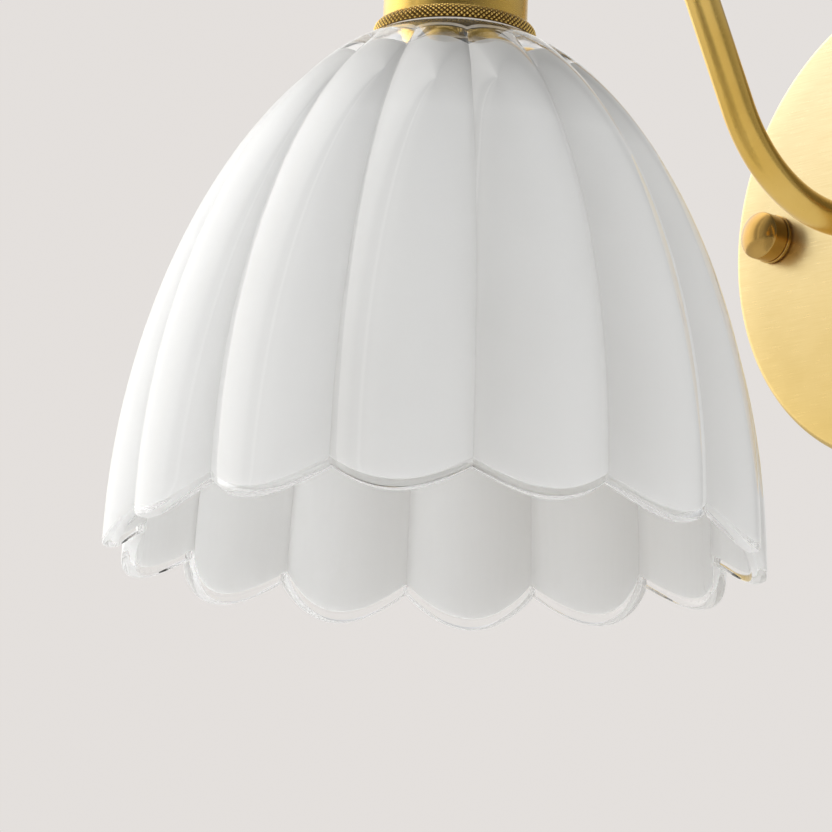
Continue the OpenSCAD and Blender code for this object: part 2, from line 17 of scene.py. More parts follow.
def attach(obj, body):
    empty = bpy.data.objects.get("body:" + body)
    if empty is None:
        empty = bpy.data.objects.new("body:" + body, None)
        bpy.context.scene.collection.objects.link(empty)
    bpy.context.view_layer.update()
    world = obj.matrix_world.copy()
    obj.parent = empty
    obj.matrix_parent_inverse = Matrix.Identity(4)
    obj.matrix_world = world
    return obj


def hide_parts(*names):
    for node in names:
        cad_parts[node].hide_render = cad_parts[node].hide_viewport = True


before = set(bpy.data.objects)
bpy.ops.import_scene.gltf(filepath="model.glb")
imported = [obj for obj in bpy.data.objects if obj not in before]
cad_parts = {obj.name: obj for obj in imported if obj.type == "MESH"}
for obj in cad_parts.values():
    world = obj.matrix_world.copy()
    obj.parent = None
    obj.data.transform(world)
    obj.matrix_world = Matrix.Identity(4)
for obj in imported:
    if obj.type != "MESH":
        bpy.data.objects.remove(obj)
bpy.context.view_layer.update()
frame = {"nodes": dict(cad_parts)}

LOG = logging.getLogger("sconce")
MM = 0.001
AXIS_R = 1e-4
SAME = 1e-9
SEAM = 1e-4
Colour = tuple[float, float, float]
Tint = tuple[float, float, float, float]
Place = tuple[float, float, float]
Point = tuple[float, float]
Piece = bpy.types.Object
Material = bpy.types.Material
Node = bpy.types.Node
Socket = bpy.types.NodeSocket
Feed = float | Colour | Tint | Socket


# Sizes


@dataclass(frozen=True)
class Layout:
    """The object's main sizes in millimetres, as in the solid model."""

    plate_r: float = 76.0
    plate_depth: float = 22.0
    plate_wall: float = 1.5
    plate_edge_r: float = 1.8
    nut_x: float = 60.0
    nut_lift: float = 2.6
    arm_r: float = 5.0
    arm_wall: float = 1.0
    arm_stub: float = 6.0
    arm_dip: float = 10.2
    dip_r: float = 20.0
    low_r: float = 48.0
    top_r: float = 40.0
    rise: float = math.radians(60.4)
    reach: float = 200.0
    arm_drop: float = 5.5
    cup_r: float = 20.0
    cup_h: float = 50.0
    cup_wall: float = 1.2
    cup_shoulder_r: float = 6.0
    collar_h: float = 7.0
    ring_h: float = 4.4
    ring_bead_r: float = 2.6
    gasket_t: float = 0.8
    shade_h: float = 146.4
    shade_r: float = 90.5
    neck_r: float = 23.5
    glass_t: float = 4.2
    flute_depth: float = 6.8
    scallop: float = 8.2
    petals: int = 14
    holder_r: float = 18.0
    holder_cap_t: float = 6.5
    cap_gap: float = 0.3
    slide_gap: float = 0.1
    hole_gap: float = 0.6
    cup_seat: float = 2.5

    @property
    def lamp_u(self) -> float:
        """Distance from the wall to the lamp's axis."""
        return self.plate_depth + self.reach

    @property
    def dip_angle(self) -> float:
        """Turn of the first bend, in radians."""
        return math.acos(1 - self.arm_dip / (self.dip_r + self.low_r))

    @property
    def rise_start(self) -> Point:
        """Where the rising straight begins, as distance from the wall and height."""
        u = self.plate_depth + self.arm_stub + (self.dip_r + self.low_r) * math.sin(self.dip_angle)
        z = self.low_r - self.arm_dip
        return u + self.low_r * math.sin(self.rise), z - self.low_r * math.cos(self.rise)

    @property
    def rise_len(self) -> float:
        """Length of the rising straight."""
        run = self.lamp_u - self.top_r * (1 + math.sin(self.rise)) - self.rise_start[0]
        return run / math.cos(self.rise)

    @property
    def top_centre_z(self) -> float:
        """Height of the upper bend's centre."""
        end_z = self.rise_start[1] + self.rise_len * math.sin(self.rise)
        return end_z - self.top_r * math.cos(self.rise)

    @property
    def cup_top(self) -> float:
        """Height of the cup's flat top."""
        return self.top_centre_z - self.arm_drop - self.collar_h

    @property
    def ring_z(self) -> float:
        """Height of the knurled ring's lower edge."""
        return self.cup_top - self.cup_h

    @property
    def glass_top(self) -> float:
        """Height of the glass shade's top."""
        return self.ring_z - self.gasket_t

    @property
    def sleeve_r(self) -> float:
        """Radius of the holes that the arm passes through."""
        return self.arm_r + self.slide_gap

    @property
    def hole_r(self) -> float:
        """Radius of the hole in the glass and its gasket, round the lampholder."""
        return self.holder_r + self.hole_gap


SIZE = Layout()


# Finishes


class Nodes:
    """A node tree that is filled by short calls."""

    def __init__(self, owner: Material | bpy.types.World) -> None:
        """Start with an empty tree in a material or world."""
        owner.use_nodes = True
        self.tree = owner.node_tree
        self.tree.nodes.clear()

    def add(self, kind: str, values: dict[str | int, Feed] | None = None, **settings: object) -> Node:
        """Add a node.

        Args:
            kind: the node's type name.
            values: input name or index to a value, or to a socket that feeds it.
            settings: attributes of the node itself.

        Returns:
            The new node.
        """
        node = self.tree.nodes.new(kind)
        for key, value in settings.items():
            setattr(node, key, value)
        for key, value in (values or {}).items():
            self.feed(node, key, value)
        return node

    def feed(self, node: Node, key: str | int, value: Feed) -> None:
        """Set a node's input to a value, or link a socket to it.

        Args:
            node: the node that is fed.
            key: the input's name or index.
            value: the value, colour or socket.
        """
        if isinstance(value, Socket):
            self.tree.links.new(value, node.inputs[key])
        else:
            if isinstance(value, tuple) and len(value) == 3 and node.inputs[key].type == "RGBA":
                value = (*value, 1.0)
            node.inputs[key].default_value = value


class Graph(Nodes):
    """One material's nodes, round a Principled surface."""

    def __init__(self, name: str) -> None:
        """Start a material with nothing in it but its output and surface."""
        self.material = bpy.data.materials.new(name)
        super().__init__(self.material)
        self.surface = self.add("ShaderNodeBsdfPrincipled")
        self.add("ShaderNodeOutputMaterial", {"Surface": self.surface.outputs[0]})

    def place(self, scale: Place = (1, 1, 1), turn: Place = (0, 0, 0), shift: Place = (0, 0, 0)) -> Socket:
        """Take object coordinates through a Mapping node.

        Args:
            scale: how far the pattern is drawn together along each axis.
            turn: its turn about each axis, in radians.
            shift: how far the coordinates are moved, in metres.

        Returns:
            The mapped coordinates.
        """
        coordinates = self.add("ShaderNodeTexCoord")
        mapping = self.add(
            "ShaderNodeMapping",
            {"Vector": coordinates.outputs["Object"], "Scale": scale, "Rotation": turn, "Location": shift},
        )
        return mapping.outputs["Vector"]

    def axes(self, shift: Place = (0, 0, 0)) -> Sequence[Socket]:
        """Give X, Y and Z of the object coordinates, moved by a shift in metres."""
        return self.add("ShaderNodeSeparateXYZ", {"Vector": self.place(shift=shift)}).outputs

    def noise(self, where: Socket, scale: float, detail: float = 3.0, roughness: float = 0.5) -> Socket:
        """Give a noise pattern's value."""
        node = self.add(
            "ShaderNodeTexNoise",
            {"Vector": where, "Scale": scale, "Detail": detail, "Roughness": roughness},
        )
        return node.outputs[0]

    def spread(self, value: Socket, low: float, high: float, start: float = 0.3, end: float = 0.7) -> Socket:
        """Map a pattern from start to end onto the values from low to high."""
        node = self.add(
            "ShaderNodeMapRange",
            {"Value": value, "From Min": start, "From Max": end, "To Min": low, "To Max": high},
        )
        return node.outputs[0]

    def blend(self, factor: Socket, first: Feed, second: Feed) -> Socket:
        """Mix two colours by a pattern.

        Args:
            factor: the second colour's share.
            first: the colour where the share is 0.
            second: the colour where the share is 1.

        Returns:
            The mixed colour.
        """
        node = self.add("ShaderNodeMix", data_type="RGBA")
        self.feed(node, 0, factor)
        self.feed(node, 6, first)
        self.feed(node, 7, second)
        return node.outputs[2]

    def math(self, operation: str, first: Feed, second: Feed = 0.0) -> Socket:
        """Give a Math node's result."""
        node = self.add("ShaderNodeMath", {0: first, 1: second}, operation=operation)
        return node.outputs[0]

    def root(self, first: Socket, second: Socket) -> Socket:
        """Give the square root of the sum of two squares."""
        squares = [self.math("MULTIPLY", side, side) for side in (first, second)]
        return self.math("SQRT", self.math("ADD", *squares))

    def relief(self, height: Socket, depth: float, strength: float) -> Socket:
        """Give a Bump node's normal, for a relief of this depth in metres."""
        node = self.add("ShaderNodeBump", {"Height": height, "Distance": depth, "Strength": strength})
        return node.outputs[0]

    def finish(self, **inputs: Feed) -> Material:
        """Set the surface's inputs, with underscores for spaces, and return the material."""
        for key, value in inputs.items():
            self.feed(self.surface, key.replace("_", " "), value)
        return self.material


class Grain(Enum):
    """Which way a metal's brushing runs, as a stretch of its noise along X, Y and Z."""

    NONE = (1.0, 1.0, 1.0)
    ALONG_X = (0.03, 1.0, 1.0)
    ROUND_Z = (0.05, 0.05, 1.0)


@dataclass(frozen=True)
class MetalFinish:
    """A plated or lacquered metal with fine brushing, soft tone drift and faint marks."""

    name: str
    colour: Colour
    deep: Colour
    roughness: float = 0.25
    spread: float = 0.08
    grain: Grain = Grain.NONE
    grain_scale: float = 2600.0
    relief: float = 0.000003
    coat: float = 0.0
    streak: float = 0.16
    # Painted light: where given, a lighter colour that the finish turns to toward its top.
    painted_top_light: Colour | None = None
    painted_light_span: Point = (0.0, 1.0)
    drift_scale: float = 34.0
    marks_scale: float = 420.0
    coat_roughness: float = 0.12

    def material(self) -> Material:
        """Build the finish as a material."""
        g = Graph(self.name)
        fine = g.noise(g.place(self.grain.value), self.grain_scale, 2.0)
        drift = g.noise(g.place(), self.drift_scale)
        marks = g.noise(g.place(turn=(0.3, 0.2, 0.1)), self.marks_scale, 4.0, 0.65)
        tone = g.blend(g.spread(drift, 0.0, 1.0, 0.35, 0.65), self.colour, self.deep)
        # Painted light: the colour turns lighter from the lower to the upper height of the span, in metres.
        if self.painted_top_light:
            height = g.axes()[2]
            tone = g.blend(g.spread(height, 0.0, 1.0, *self.painted_light_span), tone, self.painted_top_light)
        streak = g.spread(fine, 0.0, self.streak, 0.35, 0.75)
        colour = g.blend(streak, tone, self.deep)
        rough = g.math("ADD", g.spread(fine, self.roughness, self.roughness + self.spread),
                       g.spread(marks, -0.02, 0.03, 0.4, 0.7))
        return g.finish(
            Base_Color=colour, Metallic=1.0, Roughness=rough, Coat_Weight=self.coat,
            Coat_Roughness=self.coat_roughness, Normal=g.relief(fine, self.relief, 0.6),
        )


@dataclass(frozen=True)
class KnurledBrass:
    """Brass diamonds over recesses darkened by painted shade, told apart by their depth in the bead."""

    name: str = "knurled_brass"
    colour: Colour = (0.92, 0.64, 0.2)
    recess_shade: Colour = (0.12, 0.06, 0.01)
    roughness: float = 0.14
    shade_below: float = 0.0003
    unshaded_above: float = 0.00008
    grain_scale: float = 1800.0

    def material(self) -> Material:
        """Build the finish as a material."""
        g = Graph(self.name)
        bead = SIZE.ring_bead_r * MM
        centre_z = (SIZE.ring_z + SIZE.ring_h) * MM - bead
        x, y, z = g.axes((0.0, SIZE.lamp_u * MM, -centre_z))
        over = g.math("SUBTRACT", g.root(x, y), SIZE.cup_r * MM)
        reach = g.root(over, g.math("MAXIMUM", z, 0.0))
        # Painted shade: the colour turns almost black where the surface lies deep in the knurl's cuts.
        deep = g.spread(reach, 1.0, 0.0, bead - self.shade_below, bead - self.unshaded_above)
        fine = g.noise(g.place(), self.grain_scale, 2.0)
        return g.finish(
            Base_Color=g.blend(deep, self.colour, self.recess_shade), Metallic=1.0,
            Roughness=g.spread(fine, self.roughness, self.roughness + 0.08),
        )


@dataclass(frozen=True)
class PlainFinish:
    """A plastic, rubber, fibre or ceramic surface with a fine moulded texture."""

    name: str
    colour: Colour
    deep: Colour
    roughness: float = 0.5
    texture_scale: float = 1500.0
    relief: float = 0.00002
    coat: float = 0.0
    subsurface: float = 0.0
    subsurface_depth: float = 0.004
    drift_scale: float = 60.0
    coat_roughness: float = 0.08

    def material(self) -> Material:
        """Build the finish as a material."""
        g = Graph(self.name)
        fine = g.noise(g.place(), self.texture_scale)
        drift = g.noise(g.place(), self.drift_scale)
        colour = g.blend(g.spread(drift, 0.0, 1.0), self.colour, self.deep)
        rough = g.spread(fine, self.roughness - 0.06, self.roughness + 0.06)
        return g.finish(
            Base_Color=colour, Roughness=rough, Coat_Weight=self.coat, Coat_Roughness=self.coat_roughness,
            Subsurface_Weight=self.subsurface, Subsurface_Radius=(self.subsurface_depth,) * 3,
            Subsurface_Scale=1.0, Normal=g.relief(fine, self.relief, 0.5),
        )


@dataclass(frozen=True)
class ClearGlass:
    """Clear pressed glass with a faint waviness and a trace of grease on its polish."""

    name: str = "clear_glass"
    colour: Colour = (0.985, 0.99, 0.985)
    roughness: float = 0.015
    waviness: float = 0.00002
    wave_scale: float = 45.0
    haze_scale: float = 160.0
    ior: float = 1.5

    def material(self) -> Material:
        """Build the finish as a material."""
        g = Graph(self.name)
        waves = g.noise(g.place(), self.wave_scale, 2.0)
        haze = g.noise(g.place(), self.haze_scale, 4.0)
        return g.finish(
            Base_Color=self.colour, Transmission_Weight=1.0, IOR=self.ior,
            Roughness=g.spread(haze, self.roughness, self.roughness + 0.03, 0.45, 0.75),
            Normal=g.relief(waves, self.waviness, 0.4),
        )


@dataclass(frozen=True)
class OpalGlass:
    """White opal glass, darkened toward its top by painted shade and greyed along one side of each petal by
    painted shade.
    """

    name: str = "opal_glass"
    colour: Colour = (0.99, 0.99, 0.985)
    deep: Colour = (0.96, 0.96, 0.955)
    # Painted shade: the grey that the petals' tops turn to.
    painted_top_shade: Colour = (0.5, 0.495, 0.485)
    roughness: float = 0.3
    subsurface: float = 1.0
    depth: float = 0.006
    # Painted shade: the grey on one side of each petal.
    painted_side_shade: Colour = (0.8, 0.795, 0.785)
    top_shade_reach: float = 0.03
    top_shade_above: float = 0.006
    cloud_scale: float = 22.0
    ripple_scale: float = 240.0

    def material(self) -> Material:
        """Build the finish as a material."""
        g = Graph(self.name)
        cloud = g.noise(g.place(), self.cloud_scale)
        ripple = g.noise(g.place(), self.ripple_scale, 2.0)
        height = g.axes()[2]
        top = SIZE.glass_top * MM - self.top_shade_above
        x, y, _ = g.axes((0.0, SIZE.lamp_u * MM, 0.0))
        turn = g.math("ARCTAN2", x, g.math("MULTIPLY", y, -1.0))
        across = g.math("FRACT", g.math("MULTIPLY", turn, SIZE.petals / (2 * math.pi)))
        # Painted shade: each petal is greyer at one side and whiter at the other, as if light fell across it.
        side_shaded = g.blend(g.spread(across, 0.0, 1.0, 0.0, 0.95), self.painted_side_shade, self.colour)
        white = g.blend(g.spread(cloud, 0.0, 0.3, 0.35, 0.7), side_shaded, self.deep)
        # Painted shade: the white turns to grey over the top few centimetres, where less light falls on the
        # upturned petal tops.
        fade = g.spread(height, 0.0, 1.0, top - self.top_shade_reach, top)
        return g.finish(
            Base_Color=g.blend(fade, white, self.painted_top_shade),
            Roughness=g.spread(ripple, self.roughness, self.roughness + 0.06),
            Subsurface_Weight=self.subsurface, Subsurface_Radius=(self.depth,) * 3,
            Subsurface_Scale=1.0, Specular_IOR_Level=0.1,
            Normal=g.relief(ripple, 0.00001, 0.2),
        )


@dataclass(frozen=True)
class StripedInsulation:
    """Green wire insulation with a yellow stripe that winds round it."""

    name: str = "earth_insulation"
    green: Colour = (0.05, 0.28, 0.06)
    yellow: Colour = (0.85, 0.68, 0.03)

    def material(self) -> Material:
        """Build the finish as a material."""
        g = Graph(self.name)
        bands = g.add(
            "ShaderNodeTexWave",
            {"Vector": g.place(turn=(0.4, 0.7, 0.0)), "Scale": 260.0, "Distortion": 0.4, "Detail": 1.0},
        ).outputs[1]
        fine = g.noise(g.place(), 1400.0, 2.0)
        return g.finish(
            Base_Color=g.blend(g.spread(bands, 0.0, 1.0, 0.45, 0.55), self.green, self.yellow),
            Roughness=g.spread(fine, 0.4, 0.5), Normal=g.relief(fine, 0.00001, 0.4),
        )


class Finishes:
    """Every finish of the object, built once."""

    def __init__(self) -> None:
        """Build the materials."""
        brass, deep = (0.82, 0.56, 0.16), (0.74, 0.48, 0.11)
        self.satin_brass = MetalFinish(
            "satin_brass", brass, deep, 0.2, 0.06, relief=0.000001, streak=0.05).material()
        self.turned_brass = MetalFinish(
            "turned_brass", brass, deep, 0.2, 0.1, Grain.ROUND_Z, 2200.0, relief=0.000002).material()
        # The plate's brass gets painted light, lighter toward its top as from a reflected softbox.
        self.plate_brass = MetalFinish(
            "plate_brass", (0.63, 0.46, 0.17), (0.58, 0.41, 0.13), 0.28, 0.08, Grain.ALONG_X, 3000.0,
            relief=0.000001, streak=0.2, painted_top_light=(0.86, 0.73, 0.45), painted_light_span=(-0.06, 0.05)).material()
        self.aged_brass = MetalFinish(
            "aged_brass", (0.56, 0.36, 0.11), (0.38, 0.22, 0.055), 0.14, 0.08, streak=0.08).material()
        self.knurled_brass = KnurledBrass().material()
        self.terminal_brass = MetalFinish(
            "terminal_brass", (0.78, 0.58, 0.26), (0.62, 0.43, 0.18), 0.3, 0.15).material()
        self.zinc = MetalFinish(
            "zinc_steel", (0.6, 0.6, 0.6), (0.47, 0.48, 0.5), 0.32, 0.2, Grain.ALONG_X, 1800.0).material()
        self.nickel = MetalFinish("nickel", (0.72, 0.7, 0.67), (0.6, 0.58, 0.55), 0.22, 0.12).material()
        self.white_plastic = PlainFinish("white_plastic", (0.8, 0.8, 0.77), (0.74, 0.74, 0.7), 0.45).material()
        self.ceramic = PlainFinish(
            "ceramic", (0.82, 0.81, 0.77), (0.76, 0.75, 0.7), 0.25, 500.0, coat=0.4).material()
        self.dark_plastic = PlainFinish(
            "dark_plastic", (0.022, 0.022, 0.022), (0.03, 0.029, 0.028), 0.42).material()
        self.fibre = PlainFinish("fibre", (0.7, 0.66, 0.56), (0.6, 0.55, 0.45), 0.7, 900.0, 0.00005).material()
        self.silicone = PlainFinish(
            "silicone", (0.76, 0.71, 0.64), (0.7, 0.65, 0.58), 0.5, 900.0, subsurface=0.2).material()
        self.line = PlainFinish("line_insulation", (0.13, 0.06, 0.03), (0.1, 0.045, 0.025), 0.4).material()
        self.neutral = PlainFinish("neutral_insulation", (0.03, 0.12, 0.4), (0.025, 0.09, 0.32), 0.4).material()
        self.earth = StripedInsulation().material()
        self.clear_glass = ClearGlass().material()
        self.opal_glass = OpalGlass().material()
        self.bulb_white = PlainFinish(
            "bulb_white", (0.86, 0.86, 0.84), (0.82, 0.82, 0.79), 0.3, 700.0, 0.000008,
            subsurface=0.15).material()
        self.bulb_body = PlainFinish(
            "bulb_body", (0.8, 0.8, 0.79), (0.76, 0.76, 0.75), 0.35, 900.0, coat=0.2).material()


# Modelling by hand


def rest_bench() -> None:
    """Leave edit mode and select nothing."""
    if bpy.context.object is not None and bpy.context.object.mode != "OBJECT":
        bpy.ops.object.mode_set(mode="OBJECT")
    bpy.ops.object.select_all(action="DESELECT")


def pick(obj: Piece) -> None:
    """Select one object alone and make it active."""
    rest_bench()
    obj.select_set(True)
    bpy.context.view_layer.objects.active = obj


def settle(obj: Piece, outward: bool = True, merge: float = 1e-6, angle: float = 32.0) -> None:
    """Apply an object's place, merge its doubles, face it outwards and smooth it.

    Args:
        obj: the object to finish.
        outward: whether the normals are worked out again.
        merge: distance under which points merge, in metres.
        angle: angle under which edges are smoothed, in degrees.
    """
    pick(obj)
    bpy.ops.object.transform_apply(location=True, rotation=True, scale=True)
    bpy.ops.object.mode_set(mode="EDIT")
    bpy.ops.mesh.select_all(action="SELECT")
    bpy.ops.mesh.remove_doubles(threshold=merge)
    if outward:
        bpy.ops.mesh.normals_make_consistent(inside=False)
    bpy.ops.object.mode_set(mode="OBJECT")
    bpy.ops.object.shade_smooth_by_angle(angle=math.radians(angle))


def apply_modifier(obj: Piece, kind: str, **settings: object) -> None:
    """Add a modifier and apply it.

    Args:
        obj: the object that it changes.
        kind: the modifier's type name.
        settings: attributes of the modifier.
    """
    pick(obj)
    modifier = obj.modifiers.new(kind.lower(), kind)
    for key, value in settings.items():
        setattr(modifier, key, value)
    bpy.ops.object.modifier_apply(modifier=modifier.name)


def arc(centre: Point, radius: float, start: float, end: float, steps: int) -> list[Point]:
    """Points on an arc of a profile, with angles in degrees."""
    turns = [math.radians(start + (end - start) * k / steps) for k in range(steps + 1)]
    return [(centre[0] + radius * math.cos(a), centre[1] + radius * math.sin(a)) for a in turns]


def turned(name: str, profile: Sequence[Point], segments: int = 96, closed: bool = True) -> Piece:
    """Draw a ring out along a profile, as on a lathe standing on Z.

    Args:
        name: the piece's name.
        profile: radius and height of each step, in millimetres.
        segments: points round the ring.
        closed: whether the last step joins the first.

    Returns:
        The new object, with its axis on Z.
    """
    rest_bench()
    steps = list(profile) + ([profile[0]] if closed else [])
    steps = [(max(r, AXIS_R), z) for r, z in steps]
    radius, height = steps[0]
    bpy.ops.mesh.primitive_circle_add(vertices=segments, radius=radius * MM, location=(0, 0, height * MM))
    obj = bpy.context.object
    obj.name = name
    bpy.ops.object.transform_apply(location=True)
    bpy.ops.object.mode_set(mode="EDIT")
    bpy.ops.mesh.select_all(action="SELECT")
    for r, z in steps[1:]:
        bpy.ops.mesh.extrude_region_move(TRANSFORM_OT_translate={"value": (0, 0, (z - height) * MM)})
        if abs(r - radius) > SAME:
            bpy.ops.transform.resize(value=(r / radius, r / radius, 1), center_override=(0, 0, 0))
        radius, height = r, z
    bpy.ops.mesh.select_all(action="SELECT")
    bpy.ops.mesh.remove_doubles(threshold=2e-7)
    bpy.ops.mesh.normals_make_consistent(inside=False)
    bpy.ops.object.mode_set(mode="OBJECT")
    return obj


def cut(obj: Piece, tool: Piece) -> None:
    """Cut a tool's shape out of an object and remove the tool."""
    apply_modifier(obj, "BOOLEAN", operation="DIFFERENCE", solver="EXACT", object=tool)
    bpy.data.objects.remove(tool)


def rod(name: str, radius: float, length: float, segments: int = 32) -> Piece:
    """Make a plain bar on Z from its foot up, to cut with.

    Args:
        name: the bar's name.
        radius: its radius, in millimetres.
        length: its length, in millimetres.
        segments: points round it.

    Returns:
        The new object.
    """
    rest_bench()
    bpy.ops.mesh.primitive_cylinder_add(
        vertices=segments, radius=radius * MM, depth=length * MM, location=(0, 0, length * MM / 2))
    obj = bpy.context.object
    obj.name = name
    bpy.ops.object.transform_apply(location=True)
    return obj


def stand_out(obj: Piece, x: float = 0.0, z: float = 0.0, u: float = 0.0) -> Piece:
    """Turn a piece that stands on Z so that it stands out from the wall.

    Args:
        obj: the piece.
        x: its place to the right, in millimetres.
        z: its height, in millimetres.
        u: its foot's distance from the wall, in millimetres.

    Returns:
        The same piece, with its place applied.
    """
    pick(obj)
    obj.rotation_euler = (math.pi / 2, 0, 0)
    obj.location = (x * MM, -u * MM, z * MM)
    bpy.ops.object.transform_apply(location=True, rotation=True)
    return obj


def hang(obj: Piece, z: float = 0.0) -> Piece:
    """Move a piece that stands on Z to the lamp's axis.

    Args:
        obj: the piece.
        z: its foot's height, in millimetres.

    Returns:
        The same piece, with its place applied.
    """
    pick(obj)
    obj.location = (0, -SIZE.lamp_u * MM, z * MM)
    bpy.ops.object.transform_apply(location=True)
    return obj


def join(name: str, parts: Sequence[Piece]) -> Piece:
    """Join several objects into one mesh.

    Args:
        name: the joined piece's name.
        parts: the objects, of which the first stays.

    Returns:
        The joined object.
    """
    rest_bench()
    for part in parts:
        part.select_set(True)
    bpy.context.view_layer.objects.active = parts[0]
    bpy.ops.object.join()
    parts[0].name = name
    return parts[0]


def loft(name: str, across: int, along: int, place: Callable[[float, float], Place]) -> Piece:
    """Wrap a grid primitive into a ring with any closed section.

    Args:
        name: the piece's name.
        across: faces round the piece.
        along: faces along its section.
        place: gives a point in millimetres for a place from 0 to 1 each way.

    Returns:
        The new object, whose two seams still have double points.
    """
    rest_bench()
    bpy.ops.mesh.primitive_grid_add(x_subdivisions=across, y_subdivisions=along, size=1)
    obj = bpy.context.object
    obj.name = name
    for vertex in obj.data.vertices:
        u, v = (0.0 if c > 0.5 - SEAM else c + 0.5 for c in vertex.co.xy)
        vertex.co = [c * MM for c in place(max(u, 0.0), max(v, 0.0))]
    return obj


class Dresser:
    """Gives finished pieces their finish, body and stand-in duty."""

    def __init__(self, finishes: Finishes) -> None:
        """Keep the finishes and the frame's nodes."""
        self.finishes = finishes
        self.nodes: dict[str, Piece] = frame["nodes"]

    def dress(self, obj: Piece, material: Material, body: str, slot: str,
              *nodes: str) -> Piece:
        """Give a piece its finish and its duties.

        Args:
            obj: the piece.
            material: its finish.
            body: the moving body that it rides on.
            slot: the name of a material slot; not used.
            nodes: the CAD nodes that it stands for.

        Returns:
            The same piece.
        """
        obj.data.materials.clear()
        obj.data.materials.append(material)
        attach(obj, body)
        if nodes:
            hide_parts(*nodes)
        LOG.info("%s: %d faces, on %s", obj.name, len(obj.data.polygons), body)
        return obj

    def coat(self, material: Material, *names: str) -> None:
        """Give CAD nodes that stay in sight a finish.

        Args:
            material: the finish.
            names: the nodes' names.
        """
        for name in names:
            node = self.nodes[name]
            node.data.materials.clear()
            node.data.materials.append(material)
            LOG.info("%s: kept solid", name)


# Sub-assemblies


@dataclass
class WallSide:
    """The bracket, its screws and the wiring behind the plate."""

    dresser: Dresser

    def build(self) -> None:
        """Dress the solids that show from behind."""
        f, coat = self.dresser.finishes, self.dresser.coat
        coat(f.zinc, "wall_bracket", "bracket_screw_left", "bracket_screw_right", "bracket_nuts", "arm_washer")
        coat(f.terminal_brass, "earth_screw", "terminal_screws", "arm_lock_nut")
        coat(f.earth, "earth_wire")
        coat(f.white_plastic, "terminal_block")
        coat(f.line, "line_wire")
        coat(f.neutral, "neutral_wire")


